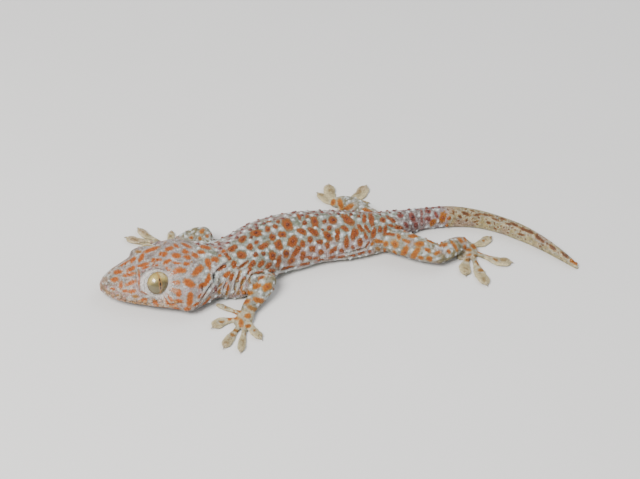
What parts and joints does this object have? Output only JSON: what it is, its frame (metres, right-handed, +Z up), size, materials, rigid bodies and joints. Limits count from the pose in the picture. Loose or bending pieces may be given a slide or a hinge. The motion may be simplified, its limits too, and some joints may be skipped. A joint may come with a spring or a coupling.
{
  "type": "tokay gecko",
  "caption": "Life-size adult gecko lying flat on a floor, head level, legs spread on padded toes, regrown tail curved aside.",
  "frame": {"origin": "on the floor, on the flat of the belly under the middle of the trunk", "axes": "+X along the trunk towards the tail, +Z up; the animal's left side faces -Y"},
  "size_m": [0.225, 0.1039, 0.0214],
  "materials": {
    "skin": "satin",
    "toe_skin": "satin",
    "tail_skin": "satin",
    "eye": "gloss",
    "claw": "gloss"
  },
  "bodies": {
    "root": {"head": "skin", "lower_jaw": "skin", "eye_left": "eye", "eye_right": "eye", "neck": "skin", "torso": "skin", "tail_root": "skin", "tail_regrown": "tail_skin", "tail_tip": "tail_skin", "upper_arm_left": "skin", "forearm_left": "skin", "upper_arm_right": "skin", "forearm_right": "skin", "thigh_left": "skin", "shin_left": "skin", "thigh_right": "skin", "shin_right": "skin", "hand_left": "toe_skin", "hand_right": "toe_skin", "foot_left": "toe_skin", "foot_right": "toe_skin"}
  },
  "joints": []
}
